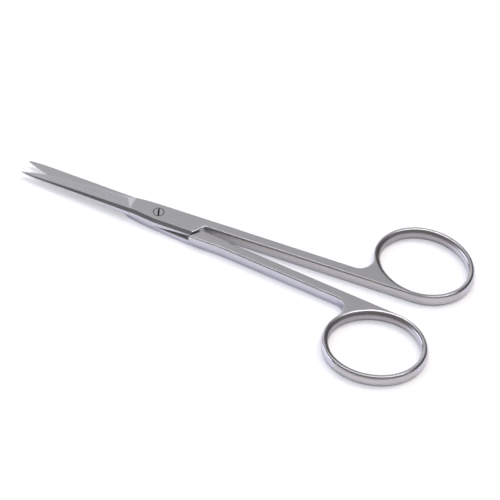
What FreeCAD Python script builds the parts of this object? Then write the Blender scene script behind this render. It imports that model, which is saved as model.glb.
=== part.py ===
import FreeCAD, Part
import math
import os
from FreeCAD import Vector

# Straight iris scissors, lying flat and opened a little.
# Lengths are in mm and angles in degrees.
# The origin is on the joint's axis, on the plane that the scissors rest on.
# +X runs from the joint to the finger rings, midway between the halves, and +Z is up.
# One half is drawn closed, with its inner edge along the X axis and its ring on the +Y side.

# Both halves
thickness = 3.4
ride_gap = 0.04
rest_opening = 6.0

# Joint: the thick part round the screw
joint_front = 7.0
joint_back = 9.8
joint_outer_upper = 2.6
joint_outer_lower = 3.25
joint_front_taper = 0.4
joint_full_start = -1.0
joint_inner_front = 2.48
joint_inner_middle = 3.3
joint_inner_back = 3.5
joint_bevel_width = 0.95
joint_bevel_height = 0.45
outer_round_width = 0.4
outer_round_height = 0.4

# Shoulder behind the joint, where each half steps down to let the other pass
shoulder_angle = 54.0
shoulder_corner = 1.0
shoulder_clearance = 0.2

# Shank
shank_width = 2.6
shank_gap = 0.12
shank_start = 20.0
edge_round = 0.4

# Finger ring: an ellipse that leans away from the shank's line
ring_distance = 65.65
ring_half_length = 12.12
ring_half_width = 9.78
ring_lean = -12.7
ring_bar_outer = 0.88
ring_bar_inner = 1.0
ring_outer_round = 0.66
ring_inner_round = 0.95
ring_round_height = 1.5
ring_fade = 55.0

# Flat web between shank and ring, and the ring's bar beside it
web_corner = 3.4
web_bar_inner = 0.7
web_outer_round = 0.2
web_inner_round = 1.15
web_edge = 0.5

# Blade
blade_reach = 37.4
edge_root = 2.7
edge_belly_distance = 21.0
edge_belly = 2.43
spine_bend_distance = 32.0
spine_bend = 0.84
tip_height = 0.32
tip_half_width = 0.11
tip_blunt = 0.12
ramp_angle = 29.0

# Shares of the blade's own width and height that its ground faces take
ridge_share = 0.17
spine_wall_share = 0.73
bevel_width_share = 0.14
bevel_top_share = 0.30
edge_land_share = 0.07

# Joint screw
screw_head = 2.7
screw_head_rim = 0.3
screw_body = 1.9
screw_running_gap = 0.04
screw_thread_gap = 0.02
screw_seat_angle = 45.0
screw_edge_chamfer = 0.15
slot_width = 0.46
slot_depth = 0.5
slot_direction = -67.0

# Worked out from the sizes above
mid = thickness / 2
inner_face = mid + ride_gap / 2
inner_wall = shank_gap / 2
outer_wall = inner_wall + shank_width
blade_full_height = thickness - inner_face
cut_margin = 5.0
bury = 0.5
ring_sink = 0.01
ramp_end_height = 0.02
blade_steps = 5
ring_steps = 32
ring_round_steps = 4
hollow_search_first = 90.0
hollow_search_last = 250.0
hollow_search_step = 0.25
hollow_halvings = 40


def joint_near(x):
    """The joint's inner side, from the X axis. In front of the screw it carries on the spine's line."""
    if x < 0:
        return joint_inner_middle + (joint_inner_middle - joint_inner_front) / joint_front * x
    return joint_inner_middle + (joint_inner_back - joint_inner_middle) / joint_back * x


def mixed(first, second, blend):
    return first + blend * (second - first)


def smooth_step(share):
    """0 to 1 with a level start and a level end."""
    return share * share * (3 - 2 * share)


def arc(start, through, end):
    return Part.Arc(start, through, end).toShape()


def rounded(start, corner, end):
    """A curve from start to end that is tangent to the two lines through the corner."""
    curve = Part.BezierCurve()
    curve.setPoles([start, corner, end])
    return curve.toShape()


def section_wire(x, corners):
    """A closed cross-section at x. A corner is (y, z), or (corner y, corner z, y, z) where it is rounded."""
    edges = []
    first = Vector(x, corners[0][0], corners[0][1])
    last = first
    for corner in corners[1:]:
        end = Vector(x, corner[-2], corner[-1])
        if len(corner) == 4:
            edges.append(rounded(last, Vector(x, corner[0], corner[1]), end))
        else:
            edges.append(Part.makeLine(last, end))
        last = end
    edges.append(Part.makeLine(last, first))
    return Part.Wire(edges)


# Blade

def bent_line(distance, root, bend_distance, bend_offset):
    """Offset of a blade outline: straight from joint to bend, then curving in to reach 0 at the tip."""
    slope = (root - bend_offset) / (bend_distance - joint_front)
    if distance <= bend_distance:
        return root - slope * (distance - joint_front)
    run = blade_reach - bend_distance
    curve = (bend_offset - slope * run) / run ** 2
    past = distance - bend_distance
    return bend_offset - slope * past - curve * past ** 2


def edge_offset(distance):
    """The cutting edge's distance from the X axis."""
    return bent_line(distance, edge_root, edge_belly_distance, edge_belly)


def spine_offset(distance):
    """The spine's distance from the X axis, on the other side."""
    return bent_line(distance, joint_inner_front, spine_bend_distance, spine_bend)


def blade_section(distance):
    """Spine wall, spine bevel, broad ground face, narrow bevel and a thin land at the cutting edge."""
    share = (distance - joint_front) / (blade_reach - joint_front)
    height = blade_full_height + share * (tip_height - blade_full_height)
    spine = -spine_offset(distance) - tip_half_width
    edge = edge_offset(distance) + tip_half_width
    width = edge - spine
    ridge_z = inner_face + height
    bottom = inner_face - bury
    return section_wire(-distance, [
        (spine, bottom),
        (spine, inner_face + spine_wall_share * height),
        (spine + ridge_share * width, ridge_z),
        (edge - bevel_width_share * width, inner_face + bevel_top_share * height),
        (edge, inner_face + edge_land_share * height),
        (edge, bottom),
    ])


def blade():
    """The blade, deeper than it ends up: the inner face is ground off together with the joint's."""
    root = Part.makeLoft([blade_section(joint_front), blade_section(edge_belly_distance)], True, True)
    run = blade_reach - tip_blunt - edge_belly_distance
    stations = [edge_belly_distance + run * step / blade_steps for step in range(blade_steps + 1)]
    point = Part.makeLoft([blade_section(distance) for distance in stations], True, False)
    return root.fuse(point)


# Joint

def joint_section(x, outer, round_width, round_height):
    """The joint's full-height section, with a wide bevel on the inner side's top edge."""
    near = -joint_near(x)
    return section_wire(x, [
        (near, 0),
        (near, thickness - joint_bevel_height),
        (near + joint_bevel_width, thickness),
        (outer - round_width, thickness),
        (outer, thickness, outer, thickness - round_height),
        (outer, edge_round),
        (outer, 0, outer - edge_round, 0),
    ])


def joint_block(outer):
    """From the front of the joint to the start of the plain shank, where its outer side has come in."""
    front = []
    for share in (0, 0.5, 1):
        x = -joint_front + share * (joint_full_start + joint_front)
        drawn_in = joint_front_taper * (1 - share) ** 2
        front.append(joint_section(x, outer - drawn_in, outer_round_width, outer_round_height))
    back = []
    for share in (0, 0.25, 0.5, 0.75, 1):
        x = joint_back + share * (shank_start - joint_back)
        blend = smooth_step(share)
        back.append(joint_section(
            x,
            mixed(outer, outer_wall, blend),
            mixed(outer_round_width, edge_round, blend),
            mixed(outer_round_height, edge_round, blend),
        ))
    middle = joint_section(0, outer, outer_round_width, outer_round_height)
    return Part.makeLoft([front[-1], middle, back[0]], True, True).fuse([
        Part.makeLoft(front, True, False),
        Part.makeLoft(back, True, False),
    ])


def ramp_section(x, outer, height):
    """A slice of the run-out between the joint's flat and the blade's ground face."""
    ridge = -joint_inner_front + joint_bevel_width
    bottom = inner_face - bury
    top = inner_face + height
    drop = outer_round_height * height / blade_full_height
    return section_wire(x, [
        (ridge, bottom),
        (ridge, top),
        (outer - outer_round_width, top),
        (outer, top, outer, top - drop),
        (outer, bottom),
    ])


def grinding_ramp(outer):
    """Where the wheel that ground the blade ran out, just in front of the joint."""
    length = blade_full_height / math.tan(math.radians(ramp_angle))
    wires = [
        ramp_section(-joint_front, outer - joint_front_taper, blade_full_height),
        ramp_section(-joint_front - length, edge_offset(joint_front + length), ramp_end_height),
    ]
    return Part.makeLoft(wires, True, True)


def filleted_corner(before, corner, after, radius):
    """Tangent points and through point of an arc that rounds one corner of an outline."""
    to_before = (before - corner).normalize()
    to_after = (after - corner).normalize()
    half = to_before.getAngle(to_after) / 2
    middle = (to_before + to_after).normalize()
    reach = radius / math.tan(half)
    through = corner + middle * (radius / math.sin(half) - radius)
    return corner + to_before * reach, through, corner + to_after * reach


def shoulder_cutter(side, clearance, bottom, top, front):
    """A prism along the shoulder. side is +1 to clear this half's inner side, -1 for the other half's."""
    lean = math.radians(shoulder_angle)
    run = 1 / math.tan(lean)
    start_x = joint_back + clearance / math.sin(lean)
    wall = inner_wall if side > 0 else -inner_wall + clearance
    reach = joint_inner_back + cut_margin
    corner = Vector(start_x + (joint_inner_back + side * wall) * run, wall, bottom)
    outside = Vector(corner.x - (reach + side * wall) * run, -side * reach, bottom)
    behind = Vector(shank_start + cut_margin, wall, bottom)
    radius = shoulder_corner - clearance if side < 0 else shoulder_corner
    tangent_in, through, tangent_out = filleted_corner(outside, corner, behind, radius)
    edges = [
        Part.makeLine(outside, tangent_in),
        arc(tangent_in, through, tangent_out),
        Part.makeLine(tangent_out, behind),
    ]
    below = Vector(behind.x, -reach, bottom)
    edges.append(Part.makeLine(behind, below))
    last = below
    if front is not None:
        left_low = Vector(front, -reach, bottom)
        left_high = Vector(front, reach, bottom)
        edges.append(Part.makeLine(below, left_low))
        edges.append(Part.makeLine(left_low, left_high))
        last = left_high
    edges.append(Part.makeLine(last, outside))
    return Part.Face(Part.Wire(edges)).extrude(Vector(0, 0, top - bottom))


def joint_and_blade(outer):
    """Joint and blade together, stepped for the other half above its inner face."""
    solid = joint_block(outer).fuse([blade(), grinding_ramp(outer)])
    other_half = shoulder_cutter(-1, shoulder_clearance, -cut_margin, inner_face, -blade_reach - cut_margin)
    solid = solid.cut(other_half)
    solid = solid.cut(shoulder_cutter(1, 0, -cut_margin, thickness + cut_margin, None))
    solid = solid.removeSplitter()
    rims = [edge for edge in solid.Edges if on_inner_wall_rim(edge)]
    return solid.makeFillet(edge_round, rims)


def on_inner_wall_rim(edge):
    """True for the straight top and bottom edges along the inner wall, between shoulder and shank."""
    box = edge.BoundBox
    level = min(abs(box.ZMin), abs(box.ZMax - thickness)) < ring_sink and box.ZLength < ring_sink
    return level and box.YLength < ring_sink and abs(box.YMin - inner_wall) < ring_sink


# Shank, web and finger ring

def ring_centre():
    """The ring's outer side just touches the line that the shank's inner wall lies on."""
    lean = math.radians(ring_lean)
    reach = math.hypot(ring_half_length * math.sin(lean), ring_half_width * math.cos(lean))
    return Vector(ring_distance, inner_wall + reach + ring_bar_outer - ring_sink, 0)


def ring_point(angle):
    """A point on the ring's centreline and the outward normal there, for an ellipse angle in degrees."""
    lean = math.radians(ring_lean)
    turn = math.radians(angle)
    along = Vector(math.cos(lean), math.sin(lean), 0)
    across = Vector(-math.sin(lean), math.cos(lean), 0)
    point = ring_centre() + along * (ring_half_length * math.cos(turn))
    point = point + across * (ring_half_width * math.sin(turn))
    normal = along * (math.cos(turn) / ring_half_length) + across * (math.sin(turn) / ring_half_width)
    return point, normal.normalize()


def lowest_ring_angle():
    """The ellipse angle of the ring's point nearest to the other half."""
    lean = math.radians(ring_lean)
    down = math.atan2(-ring_half_width * math.cos(lean), -ring_half_length * math.sin(lean))
    return math.degrees(down) % 360


def nearest_ring_angle(place):
    """The ellipse angle of the ring's point nearest to a place on its shank side."""
    steps = int((hollow_search_last - hollow_search_first) / hollow_search_step)
    angles = [hollow_search_first + hollow_search_step * step for step in range(steps + 1)]
    return min(angles, key=lambda angle: (ring_point(angle)[0] - place).Length)


def web_corner_centre():
    """The centre of the hollow between shank and ring, found by halving, and where it meets the ring."""
    wanted = web_corner + ring_bar_outer - ring_sink
    level = outer_wall + web_corner
    low = ring_distance - 2 * ring_half_length
    high = ring_distance - ring_half_length / 2
    for _ in range(hollow_halvings):
        centre = Vector((low + high) / 2, level, 0)
        angle = nearest_ring_angle(centre)
        if (ring_point(angle)[0] - centre).Length > wanted:
            low = centre.x
        else:
            high = centre.x
    return centre, angle


def shank_and_web():
    """A plain bar that spreads into a flat web and fills in between the shank and the ring."""
    centre, web_end = web_corner_centre()
    web_start = lowest_ring_angle()
    toward = (ring_point(web_end)[0] - centre).normalize()
    foot = Vector(centre.x, outer_wall, 0)
    contact = centre + toward * web_corner
    middle = ((foot - centre).normalize() + toward).normalize()
    lean = math.radians(ring_lean)
    along = Vector(math.cos(lean), math.sin(lean), 0)
    across = Vector(-math.sin(lean), math.cos(lean), 0)
    oval = Part.Ellipse(
        ring_centre() + along * (ring_half_length + web_edge),
        ring_centre() + across * (ring_half_width + web_edge),
        ring_centre(),
    )
    oval_arc = Part.ArcOfEllipse(oval, math.radians(web_end), math.radians(web_start)).toShape()
    meet = oval.value(math.radians(web_end))
    low_point = oval.value(math.radians(web_start))
    near_start = Vector(shank_start, inner_wall, 0)
    near_end = Vector(low_point.x, inner_wall, 0)
    far_start = Vector(shank_start, outer_wall, 0)
    outline = Part.Wire(Part.__sortEdges__([
        Part.makeLine(near_start, near_end),
        Part.makeLine(near_end, low_point),
        oval_arc,
        Part.makeLine(meet, contact),
        arc(contact, centre + middle * web_corner, foot),
        Part.makeLine(foot, far_start),
        Part.makeLine(far_start, near_start),
    ]))
    solid = Part.Face(outline).extrude(Vector(0, 0, thickness))
    rounded = [edge for edge in solid.Edges if on_shank_rim(edge, centre)]
    return solid.makeFillet(edge_round, rounded)


def on_shank_rim(edge, corner_centre):
    """True for the long top and bottom edges along both walls and round the web's hollow."""
    box = edge.BoundBox
    if box.ZLength > edge_round or box.XLength < edge_round:
        return False
    middle = edge.valueAt((edge.FirstParameter + edge.LastParameter) / 2)
    on_walls = min(abs(middle.y - inner_wall), abs(middle.y - outer_wall)) < ring_sink
    flat_distance = math.hypot(middle.x - corner_centre.x, middle.y - corner_centre.y)
    return on_walls or abs(flat_distance - web_corner) < ring_sink


def bar_side(reach, round_width):
    """One side of the ring's bar from its top flat to its bottom flat, each oval round in a few steps."""
    half_height = thickness / 2 - ring_sink
    corner = []
    for step in range(ring_round_steps + 1):
        turn = math.radians(90 * step / ring_round_steps)
        out = reach - round_width * (1 - math.sin(turn))
        corner.append((out, half_height - ring_round_height * (1 - math.cos(turn))))
    return corner + [(out, -height) for out, height in reversed(corner)]


def ring_section(angle, blend):
    """The bar's section: 0 is beside the web, where its flat joins the web's, and 1 is the free side."""
    point, normal = ring_point(angle)
    outer = bar_side(ring_bar_outer, mixed(web_outer_round, ring_outer_round, blend))
    inner_reach = mixed(web_bar_inner, ring_bar_inner, blend)
    inner = bar_side(inner_reach, mixed(web_inner_round, ring_inner_round, blend))
    across = outer + [(-out, height) for out, height in reversed(inner)]
    corners = [point + normal * out + Vector(0, 0, mid + height) for out, height in across]
    return Part.makePolygon(corners + corners[:1])


def finger_ring():
    """The ring's bar, broad and crisp beside the web and rounded all along the free side."""
    web_end = web_corner_centre()[1]
    web_start = lowest_ring_angle()
    seam = (web_start + web_end) / 2
    free = 360 - (web_start - web_end) % 360
    wires = []
    for step in range(ring_steps):
        angle = seam + 360 * step / ring_steps
        past_start = (angle - web_start) % 360
        before_end = (web_end - angle) % 360
        share = 0.0
        if past_start < free:
            share = min(1.0, past_start / ring_fade, before_end / ring_fade)
        wires.append(ring_section(angle, smooth_step(share)))
    return Part.makeLoft(wires, True, False, True)


def half(joint_outer):
    """One half, closed, before its screw hole."""
    solid = joint_and_blade(joint_outer).fuse([shank_and_web(), finger_ring()])
    return solid.removeSplitter()


# Screw and its seats

def screw_profile(radius_gap, head_gap, top, bottom):
    """The screw's half section, or the hole for it when gaps are given."""
    head = screw_head / 2 + head_gap
    body = screw_body / 2 + radius_gap
    seat_z = thickness - screw_head_rim
    body_z = seat_z - (head - body) / math.tan(math.radians(screw_seat_angle))
    return [
        Vector(0, 0, bottom), Vector(body, 0, bottom), Vector(body, 0, body_z),
        Vector(head, 0, seat_z), Vector(head, 0, top), Vector(0, 0, top),
    ]


def revolved(points):
    face = Part.Face(Part.makePolygon(points + points[:1]))
    return face.revolve(Vector(0, 0, 0), Vector(0, 0, 1), 360)


def joint_screw():
    """Countersunk head flush with the upper half, and a body that ends flush with the underside."""
    solid = revolved(screw_profile(0, 0, thickness, 0))
    rim = [
        edge for edge in solid.Edges
        if edge.BoundBox.ZLength < ring_sink and abs(edge.BoundBox.ZMin - thickness) < ring_sink
    ]
    solid = solid.makeChamfer(screw_edge_chamfer, rim)
    slot = Part.makeBox(2 * screw_head, slot_width, slot_depth + cut_margin)
    slot.translate(Vector(-screw_head, -slot_width / 2, thickness - slot_depth))
    slot.rotate(Vector(0, 0, 0), Vector(0, 0, 1), slot_direction)
    return solid.cut(slot)


def main():
    os.makedirs("parts", exist_ok=True)
    origin = Vector(0, 0, 0)
    up = Vector(0, 0, 1)
    upper = half(joint_outer_upper)
    lower = half(joint_outer_lower)
    lower.rotate(Vector(0, 0, mid), Vector(1, 0, 0), 180)
    running_hole = revolved(screw_profile(
        screw_running_gap, screw_running_gap, thickness + cut_margin, -cut_margin))
    thread_hole = Part.makeCylinder(screw_body / 2 + screw_thread_gap, thickness + 2 * cut_margin)
    thread_hole.translate(Vector(0, 0, -cut_margin))
    upper = upper.cut(running_hole)
    lower = lower.cut(thread_hole)
    upper.rotate(origin, up, rest_opening / 2)
    lower.rotate(origin, up, -rest_opening / 2)
    pieces = {"upper_half": upper, "lower_half": lower, "joint_screw": joint_screw()}
    for name, shape in pieces.items():
        print(name, "solids", len(shape.Solids), "valid", shape.isValid(), "volume", round(shape.Volume, 2))
        shape.exportStep(f"parts/{name}.step")


main()
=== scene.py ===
import math

import bmesh
import bpy
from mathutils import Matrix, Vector


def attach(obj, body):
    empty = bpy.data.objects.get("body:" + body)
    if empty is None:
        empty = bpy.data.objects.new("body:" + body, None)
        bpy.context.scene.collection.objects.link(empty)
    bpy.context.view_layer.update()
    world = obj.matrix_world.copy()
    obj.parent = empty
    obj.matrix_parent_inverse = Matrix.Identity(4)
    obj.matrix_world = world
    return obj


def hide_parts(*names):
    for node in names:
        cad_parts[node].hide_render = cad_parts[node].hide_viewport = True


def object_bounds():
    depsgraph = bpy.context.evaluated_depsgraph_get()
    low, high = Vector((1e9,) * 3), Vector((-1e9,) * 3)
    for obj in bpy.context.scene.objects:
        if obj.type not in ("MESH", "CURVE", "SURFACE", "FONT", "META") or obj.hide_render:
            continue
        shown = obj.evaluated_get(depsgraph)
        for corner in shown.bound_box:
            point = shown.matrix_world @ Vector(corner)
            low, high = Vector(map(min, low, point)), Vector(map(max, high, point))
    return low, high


# Iris scissors on a pale studio floor. The halves and the screw keep the shape they were built
# with: here they get smooth normals, ground, buffed and tumbled steel with painted shade and a painted
# bluish reflection, light and a camera.

mm = 0.001

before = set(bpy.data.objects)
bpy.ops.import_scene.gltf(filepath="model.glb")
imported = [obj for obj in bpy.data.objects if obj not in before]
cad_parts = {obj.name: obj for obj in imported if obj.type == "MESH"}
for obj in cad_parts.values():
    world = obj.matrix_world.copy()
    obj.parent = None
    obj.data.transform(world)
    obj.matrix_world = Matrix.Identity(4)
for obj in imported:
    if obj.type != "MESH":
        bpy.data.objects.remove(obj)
cadLow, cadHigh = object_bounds()
print("frame loaded:", ", ".join(sorted(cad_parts)))


# Small helpers

def linearColor(hexColor):
    channels = [int(hexColor[i:i + 2], 16) / 255 for i in (1, 3, 5)]
    return [c / 12.92 if c <= 0.04045 else ((c + 0.055) / 1.055) ** 2.4 for c in channels] + [1.0]


def addNode(tree, nodeType, settings=None, links=None, values=None):
    # settings are node properties, links go to input sockets, values fill input sockets
    node = tree.nodes.new(nodeType)
    for name, value in (settings or {}).items():
        setattr(node, name, value)
    for name, value in (values or {}).items():
        node.inputs[name].default_value = value
    for name, source in (links or {}).items():
        tree.links.new(source, node.inputs[name])
    return node


def newMaterial(name):
    material = bpy.data.materials.new(name)
    material.use_nodes = True
    material.node_tree.nodes.clear()
    return material, material.node_tree


# Steel

steel = {
    "groundColor": "#BFBDC1",      # stainless steel, a neutral grey
    "groundRoughness": 0.29,       # satin faces, ground and then brushed
    "groundLevel": (0.945, 0.985),    # how level a face is where the satin begins, and is full
    "polishedSteelAndReflectionColor": "#C2C1C8",    # buffed steel, with a blue tint that is a painted reflection of the bluish floor
    "polishedRoughness": 0.18,     # sides, edges and finger rings are buffed
    "tumbledShadeColor": "#BCBAB9",     # walls the buffing wheel didn't reach: only tumbled, so grainy and matt; the darker colour is painted shade, for the shade these walls mirror
    "tumbledRoughness": 0.38,
    "tumbledShadeFacing": (-0.55, -0.20),  # the normal's Y where the tumbled look and its painted shade are full, and gone
    "tumbledShadeEdge": 0.5 * mm,
    "innerShadeColor": "#A5A1A2",       # inside the rings the same finish, a little duller, and a darker colour that is painted shade
    "innerFacing": (-5.0 * mm, -2.0 * mm),  # the normal along the way out from the middle: full, and gone
    "innerSide": (-0.6, -0.1),     # the duller finish and its painted shade fade out where the inside faces the blades
    "innerReach": 13.0 * mm,       # and ends this far from the ring's middle, towards the joint
    "streakWidth": 0.30 * mm,      # real grinding lines are about 0.05 mm apart: drawn coarser to show
    "streakLength": 9.0 * mm,
    "streakDepth": 0.004 * mm,
    "streakStrength": 0.25,
    "streakSpan": (0.3, 0.7),      # the stretch of the pattern that the tone follows
    "streakTone": (0.96, 1.03),
    "grainSize": 0.35 * mm,        # grain of the tumbled walls, also coarser than the real one
    "grainDepth": 0.020 * mm,
    "cloudSize": 6.0 * mm,         # slow wander of the roughness
    "cloudRoughness": 0.03,
    "edgeRadius": 0.09 * mm,       # broken edges catch a thin line of light
    "edgeSamples": 6,
    "seamDepth": 0.06 * mm,
    "seamColor": "#3B3735",        # darker in the screw's slot and round its head
}

fade = {"interpolation_type": "SMOOTHSTEP"}
multiply = {"operation": "MULTIPLY"}


def addTumbledAndShade(tree, piece, place, baseRough, tint):
    # Only tumbled are the walls that face -Y, beyond the corner's X and below its Y,
    # and the far side of the ring's inside. Both also get painted shade: a darker colour for the shade they
    # mirror.
    placeParts = addNode(tree, "ShaderNodeSeparateXYZ", links={"Vector": place.outputs["Object"]})
    normalParts = addNode(tree, "ShaderNodeSeparateXYZ", links={"Vector": place.outputs["Normal"]})
    facing = addNode(tree, "ShaderNodeMapRange", fade, {"Value": normalParts.outputs["Y"]}, {
        "From Min": steel["tumbledShadeFacing"][0], "From Max": steel["tumbledShadeFacing"][1],
        "To Min": 1.0, "To Max": 0.0,
    })
    fromX, belowY = piece["tumbledShadeCorner"]
    along = addNode(tree, "ShaderNodeMapRange", fade, {"Value": placeParts.outputs["X"]},
                    {"From Min": fromX, "From Max": fromX + steel["tumbledShadeEdge"]})
    outside = addNode(tree, "ShaderNodeMath", {"operation": "LESS_THAN"},
                      {0: placeParts.outputs["Y"]}, {1: belowY})
    there = addNode(tree, "ShaderNodeMath", multiply, {0: along.outputs["Result"], 1: outside.outputs[0]})
    mattAndShade = addNode(tree, "ShaderNodeMath", multiply, {0: facing.outputs["Result"], 1: there.outputs[0]})
    mattRough = addNode(tree, "ShaderNodeMix", {"data_type": "FLOAT"},
                        {0: mattAndShade.outputs[0], 2: baseRough}, {3: steel["tumbledRoughness"]})
    # painted shade: the tumbled walls take a darker colour
    mattShadeColor = addNode(tree, "ShaderNodeMix", {"data_type": "RGBA"},
                        {0: mattAndShade.outputs[0], 6: tint}, {7: linearColor(steel["tumbledShadeColor"])})

    # inside the ring the normal points back at the ring's middle; there the colour gets painted shade
    ringCentre = piece["ringCentre"]
    fromCentre = addNode(tree, "ShaderNodeVectorMath", {"operation": "SUBTRACT"},
                         {0: place.outputs["Object"]}, {1: ringCentre})
    outward = addNode(tree, "ShaderNodeVectorMath", multiply,
                      {0: fromCentre.outputs["Vector"]}, {1: (1, 1, 0)})
    inward = addNode(tree, "ShaderNodeVectorMath", {"operation": "DOT_PRODUCT"},
                     {0: outward.outputs["Vector"], 1: place.outputs["Normal"]})
    inside = addNode(tree, "ShaderNodeMapRange", fade, {"Value": inward.outputs["Value"]}, {
        "From Min": steel["innerFacing"][0], "From Max": steel["innerFacing"][1],
        "To Min": 1.0, "To Max": 0.0,
    })
    notRight = addNode(tree, "ShaderNodeMapRange", fade, {"Value": normalParts.outputs["X"]},
                       {"From Min": steel["innerSide"][0], "From Max": steel["innerSide"][1]})
    nearRing = addNode(tree, "ShaderNodeMath", {"operation": "GREATER_THAN"},
                       {0: placeParts.outputs["X"]}, {1: ringCentre[0] - steel["innerReach"]})
    dullAndShadePart = addNode(tree, "ShaderNodeMath", multiply,
                       {0: inside.outputs["Result"], 1: notRight.outputs["Result"]})
    dullAndShade = addNode(tree, "ShaderNodeMath", multiply, {0: dullAndShadePart.outputs[0], 1: nearRing.outputs[0]})
    dullRough = addNode(tree, "ShaderNodeMix", {"data_type": "FLOAT"},
                        {0: dullAndShade.outputs[0], 2: mattRough.outputs[0]}, {3: steel["tumbledRoughness"]})
    # painted shade: a darker colour inside the ring
    paintedShadeColor = addNode(tree, "ShaderNodeMix", {"data_type": "RGBA"},
                        {0: dullAndShade.outputs[0], 6: mattShadeColor.outputs[2]}, {7: linearColor(steel["innerShadeColor"])})
    grainy = addNode(tree, "ShaderNodeMath", {"operation": "MAXIMUM"},
                     {0: mattAndShade.outputs[0], 1: dullAndShade.outputs[0]})
    return dullRough.outputs[0], paintedShadeColor.outputs[2], grainy.outputs[0]


def makeSteel(name, piece):
    # Forged stainless steel: level faces are satin from the grinding belt, the rest is buffed bright
    # or tumbled. Tumbled walls and ring insides are darkened with painted shade, and the buffed colour
    # carries a painted bluish reflection. Below seamTop, in the screw's slot and round its head, it is
    # darker.
    material, tree = newMaterial(name)
    place = addNode(tree, "ShaderNodeTexCoord")

    # the streaks are turned to the piece's own angle, then drawn out long
    turned = addNode(tree, "ShaderNodeMapping", {"vector_type": "POINT"},
                     {"Vector": place.outputs["Object"]},
                     {"Rotation": (0, 0, math.radians(piece["streakTurn"]))})
    across = 1 / steel["streakWidth"]
    stretched = addNode(tree, "ShaderNodeMapping", {"vector_type": "POINT"},
                        {"Vector": turned.outputs["Vector"]},
                        {"Scale": (1 / steel["streakLength"], across, across)})
    streaks = addNode(tree, "ShaderNodeTexNoise", {"noise_dimensions": "3D"},
                      {"Vector": stretched.outputs["Vector"]},
                      {"Scale": 1.0, "Detail": 3.0, "Roughness": 0.6})
    clouds = addNode(tree, "ShaderNodeTexNoise", {"noise_dimensions": "3D"},
                     {"Vector": place.outputs["Object"]},
                     {"Scale": 1 / steel["cloudSize"], "Detail": 2.0, "Roughness": 0.5})

    # how level the surface is, from the piece's own normal
    normalParts = addNode(tree, "ShaderNodeSeparateXYZ", links={"Vector": place.outputs["Normal"]})
    level = addNode(tree, "ShaderNodeMath", {"operation": "ABSOLUTE"}, {0: normalParts.outputs["Z"]})
    ground = addNode(tree, "ShaderNodeMapRange", fade, {"Value": level.outputs[0]},
                     {"From Min": steel["groundLevel"][0], "From Max": steel["groundLevel"][1]})
    # the buffed colour's blue tint is a painted reflection of the bluish floor
    baseColor = addNode(tree, "ShaderNodeMix", {"data_type": "RGBA"}, {0: ground.outputs["Result"]},
                        {6: linearColor(steel["polishedSteelAndReflectionColor"]), 7: linearColor(steel["groundColor"])})
    roughBase = addNode(tree, "ShaderNodeMapRange", {}, {"Value": ground.outputs["Result"]},
                        {"To Min": steel["polishedRoughness"], "To Max": steel["groundRoughness"]})
    baseRough = roughBase.outputs["Result"]
    tint = baseColor.outputs[2]
    if "tumbledShadeCorner" in piece:
        baseRough, tint, grainy = addTumbledAndShade(tree, piece, place, baseRough, tint)

    wander = steel["cloudRoughness"]
    roughWander = addNode(tree, "ShaderNodeMapRange", {}, {"Value": clouds.outputs["Fac"]},
                          {"To Min": -wander, "To Max": wander})
    rough = addNode(tree, "ShaderNodeMath", {"operation": "ADD"},
                    {0: baseRough, 1: roughWander.outputs["Result"]})
    streakTone = addNode(tree, "ShaderNodeMapRange", {}, {"Value": streaks.outputs["Fac"]}, {
        "From Min": steel["streakSpan"][0], "From Max": steel["streakSpan"][1],
        "To Min": steel["streakTone"][0], "To Max": steel["streakTone"][1],
    })
    toned = addNode(tree, "ShaderNodeMix", {"data_type": "RGBA", "blend_type": "MULTIPLY"},
                    {6: tint, 7: streakTone.outputs["Result"]}, {0: 1.0})
    tint = toned.outputs[2]
    if "seamTop" in piece:
        placeParts = addNode(tree, "ShaderNodeSeparateXYZ", links={"Vector": place.outputs["Object"]})
        seam = addNode(tree, "ShaderNodeMapRange", fade, {"Value": placeParts.outputs["Z"]}, {
            "From Min": piece["seamTop"] - steel["seamDepth"], "From Max": piece["seamTop"],
            "To Min": 1.0, "To Max": 0.0,
        })
        # darker below seamTop, in the screw's slot and round its head
        darkened = addNode(tree, "ShaderNodeMix", {"data_type": "RGBA"},
                           {0: seam.outputs["Result"], 6: tint}, {7: linearColor(steel["seamColor"])})
        tint = darkened.outputs[2]

    rounded = addNode(tree, "ShaderNodeBevel", {"samples": steel["edgeSamples"]},
                      values={"Radius": steel["edgeRadius"]})
    relief = addNode(tree, "ShaderNodeBump", {},
                     {"Height": streaks.outputs["Fac"], "Normal": rounded.outputs["Normal"]},
                     {"Strength": steel["streakStrength"], "Distance": steel["streakDepth"]})
    if "tumbledShadeCorner" in piece:
        grain = addNode(tree, "ShaderNodeTexNoise", {"noise_dimensions": "3D"},
                        {"Vector": place.outputs["Object"]},
                        {"Scale": 1 / steel["grainSize"], "Detail": 2.0, "Roughness": 0.5})
        relief = addNode(tree, "ShaderNodeBump", {}, {
            "Height": grain.outputs["Fac"], "Normal": relief.outputs["Normal"], "Strength": grainy,
        }, {"Distance": steel["grainDepth"]})
    shader = addNode(tree, "ShaderNodeBsdfPrincipled", {}, {
        "Base Color": tint, "Roughness": rough.outputs[0], "Normal": relief.outputs["Normal"],
    }, {"Metallic": 1.0})
    addNode(tree, "ShaderNodeOutputMaterial", links={"Surface": shader.outputs["BSDF"]})
    return material


# Smooth normals, with the corners that were left sharp kept crisp

finish = {
    "mergeDistance": 0.001 * mm,
    "ringAngle": 38.0,             # edges sharper than this stay crisp on the shanks and rings
    "jointAngle": 22.0,            # and than this on the joint and blades, where the facets are flatter
    "jointEnd": 12.0 * mm,
}


def applyModifier(piece, modifier):
    graph = bpy.context.evaluated_depsgraph_get()
    mesh = bpy.data.meshes.new_from_object(piece.evaluated_get(graph))
    piece.modifiers.remove(modifier)
    piece.data = mesh
    return mesh


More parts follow.
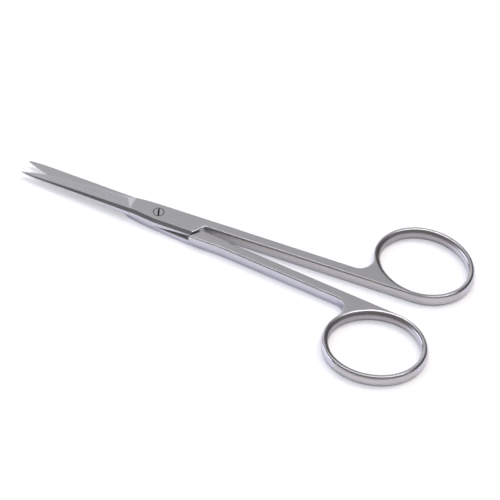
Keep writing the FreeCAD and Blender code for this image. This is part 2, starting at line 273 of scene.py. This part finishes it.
def markSharpEdges(mesh):
    edit = bmesh.new()
    edit.from_mesh(mesh)
    for edge in edit.edges:
        bladeSide = all(vert.co.x < finish["jointEnd"] for vert in edge.verts)
        limit = finish["jointAngle"] if bladeSide else finish["ringAngle"]
        edge.smooth = edge.calc_face_angle(0.0) < math.radians(limit)
    edit.to_mesh(mesh)
    edit.free()


def smoothCopy(nodeName, pieceName, material):
    piece = bpy.data.objects.new(pieceName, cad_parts[nodeName].data.copy())
    bpy.context.scene.collection.objects.link(piece)
    weld = piece.modifiers.new("weld", "WELD")
    weld.merge_threshold = finish["mergeDistance"]
    welded = applyModifier(piece, weld)
    if welded.has_custom_normals:
        welded.attributes.remove(welded.attributes["custom_normal"])
    welded.shade_smooth()
    markSharpEdges(welded)
    weighted = piece.modifiers.new("weighted", "WEIGHTED_NORMAL")
    weighted.keep_sharp = True
    done = applyModifier(piece, weighted)
    done.name = pieceName
    done.materials.clear()
    done.materials.append(material)
    return piece


# The three pieces

upperHalf = {
    "streakTurn": -3.0,            # degrees that bring the half's length onto X at rest
    "tumbledShadeCorner": (12.0 * mm, 14.0 * mm),
    "ringCentre": (64.99 * mm, 14.26 * mm, 0.0),
}

lowerHalf = {
    "streakTurn": 3.0,
    "tumbledShadeCorner": (58.8 * mm, -16.0 * mm),
    "ringCentre": (64.99 * mm, -14.26 * mm, 0.0),
}

jointScrew = {
    "streakTurn": 23.0,            # the screw's lines lie at an angle of their own
    "seamTop": cadHigh[2],
}

upperSteel = makeSteel("GroundStainlessSteelUpper", upperHalf)
lowerSteel = makeSteel("GroundStainlessSteelLower", lowerHalf)
screwSteel = makeSteel("ScrewStainlessSteel", jointScrew)

for nodeName, pieceName, body, material, slotName in (
    ("upper_half", "UpperHalf", "upper", upperSteel, "satin_steel"),
    ("lower_half", "LowerHalf", "lower", lowerSteel, "satin_steel"),
    ("joint_screw", "JointScrew", "lower", screwSteel, "screw_steel"),
):
    piece = smoothCopy(nodeName, pieceName, material)
    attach(piece, body)
    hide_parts(nodeName)
    print("piece made:", pieceName, len(piece.data.polygons), "faces")


# Studio

studio = {
    "floorSize": 3.0,
    "floorDrop": 0.02 * mm,        # keeps the card and the flat undersides from sharing one plane
    "floorColor": "#FBFBFD",
    "floorWhite": 0.42,            # share of plain white that the camera sees on the floor
    "room": 0.13,                  # a dim room round the table
    "wallEdge": (0.05, 0.42),      # how far back the pale wall behind the table begins, and is full
    "wallLight": (1.02, 0.14),     # it is lit by a window on its left and falls off to the right
    "wallSpan": (-0.56, 0.0),      # from this far left to the middle
    "nearSide": 0.15,              # the side the camera is on gets a little more light than the rest
    "nearDirection": (0.35, -0.85, 0.39),
    "nearEdge": (0.0, 0.75),       # how far round to that side the light begins, and is full
}

# Watts and metres. The lamps with mirrored False only light the table, the steel doesn't mirror them.
lamps = {
    "Overhead": {
        "power": 3.6,
        "size": (0.96, 0.26),
        "place": (0.03, 0.20, 1.15),
        "color": "#FFFFFF",
        "mirrored": True,
    },
    "WindowLeft": {
        "power": 2.8,
        "size": (0.76, 0.50),
        "place": (-1.00, -0.28, 0.26),
        "color": "#F1F4FF",
        "mirrored": True,
    },
    "WarmBack": {
        "power": 6.0,
        "size": (0.45, 0.45),
        "place": (0.45, 0.50, 1.20),
        "color": "#FFE4C2",
        "mirrored": False,
    },
    "Ceiling": {
        "power": 22.0,
        "size": (2.40, 2.40),
        "place": (0.0, 0.0, 1.60),
        "color": "#DCE3FF",
        "mirrored": False,
    },
}

floorMesh = bpy.data.meshes.new("Floor")
reach = studio["floorSize"] / 2
corners = [(x * reach, y * reach, -studio["floorDrop"]) for x, y in ((-1, -1), (1, -1), (1, 1), (-1, 1))]
floorMesh.from_pydata(corners, [], [(0, 1, 2, 3)])
floor = bpy.data.objects.new("Floor", floorMesh)
bpy.context.scene.collection.objects.link(floor)

floorMaterial, tree = newMaterial("MattWhiteCard")
rays = addNode(tree, "ShaderNodeLightPath")
share = addNode(tree, "ShaderNodeMath", multiply,
                {0: rays.outputs["Is Camera Ray"]}, {1: studio["floorWhite"]})
card = addNode(tree, "ShaderNodeBsdfDiffuse", values={"Color": linearColor(studio["floorColor"])})
white = addNode(tree, "ShaderNodeEmission", values={"Color": (1, 1, 1, 1), "Strength": 1.0})
mixed = addNode(tree, "ShaderNodeMixShader",
                links={0: share.outputs[0], 1: card.outputs[0], 2: white.outputs[0]})
addNode(tree, "ShaderNodeOutputMaterial", links={"Surface": mixed.outputs[0]})
floorMesh.materials.append(floorMaterial)

world = bpy.data.worlds.new("Studio")
bpy.context.scene.world = world
world.use_nodes = True
tree = world.node_tree
tree.nodes.clear()
direction = addNode(tree, "ShaderNodeTexCoord")
skyParts = addNode(tree, "ShaderNodeSeparateXYZ", links={"Vector": direction.outputs["Generated"]})
onWall = addNode(tree, "ShaderNodeMapRange", fade, {"Value": skyParts.outputs["Y"]},
                 {"From Min": studio["wallEdge"][0], "From Max": studio["wallEdge"][1]})
wallLight = addNode(tree, "ShaderNodeMapRange", {}, {"Value": skyParts.outputs["X"]}, {
    "From Min": studio["wallSpan"][0], "From Max": studio["wallSpan"][1],
    "To Min": studio["wallLight"][0], "To Max": studio["wallLight"][1],
})
farSide = addNode(tree, "ShaderNodeMix", {"data_type": "FLOAT"},
                  {0: onWall.outputs["Result"], 3: wallLight.outputs["Result"]}, {2: studio["room"]})
toNear = addNode(tree, "ShaderNodeVectorMath", {"operation": "DOT_PRODUCT"},
                 {0: direction.outputs["Generated"]}, {1: studio["nearDirection"]})
onNear = addNode(tree, "ShaderNodeMapRange", fade, {"Value": toNear.outputs["Value"]}, {
    "From Min": studio["nearEdge"][0], "From Max": studio["nearEdge"][1],
    "To Min": 0.0, "To Max": studio["nearSide"],
})
bothSides = addNode(tree, "ShaderNodeMath", {"operation": "ADD"},
                    {0: farSide.outputs[0], 1: onNear.outputs["Result"]})
sky = addNode(tree, "ShaderNodeBackground", links={"Color": bothSides.outputs[0]}, values={"Strength": 1.0})
addNode(tree, "ShaderNodeOutputWorld", links={"Surface": sky.outputs["Background"]})

for name, lampSet in lamps.items():
    lampData = bpy.data.lights.new(name, "AREA")
    lampData.shape = "RECTANGLE"
    lampData.size, lampData.size_y = lampSet["size"]
    lampData.energy = lampSet["power"]
    lampData.color = linearColor(lampSet["color"])[:3]
    lamp = bpy.data.objects.new(name, lampData)
    lamp.location = lampSet["place"]
    lamp.rotation_euler = (-Vector(lampSet["place"])).to_track_quat("-Z", "Y").to_euler()
    lamp.visible_glossy = lampSet["mirrored"]
    bpy.context.scene.collection.objects.link(lamp)
print("studio lit")


# Camera

view = {
    "azimuth": 26.255,             # degrees to the right of straight in front
    "elevation": 49.367,           # degrees above the table
    "place": (281.56 * mm, -520.27 * mm, 677.96 * mm),
    "lens": 263.56,                # mm, like the sensor's width
    "sensorWidth": 36.0,
    "clipStart": 0.05,
    "clipEnd": 20.0,
}

cameraData = bpy.data.cameras.new("Camera")
cameraData.sensor_width = view["sensorWidth"]
cameraData.lens = view["lens"]
cameraData.clip_start = view["clipStart"]
cameraData.clip_end = view["clipEnd"]
camera = bpy.data.objects.new("Camera", cameraData)
azimuth = math.radians(view["azimuth"])
elevation = math.radians(view["elevation"])
sideways = math.cos(elevation)
back = Vector((math.sin(azimuth) * sideways, -math.cos(azimuth) * sideways, math.sin(elevation)))
camera.location = view["place"]
camera.rotation_euler = (-back).to_track_quat("-Z", "Y").to_euler()
bpy.context.scene.collection.objects.link(camera)
bpy.context.scene.camera = camera
bpy.context.scene.view_settings.view_transform = "Standard"

print("camera set")
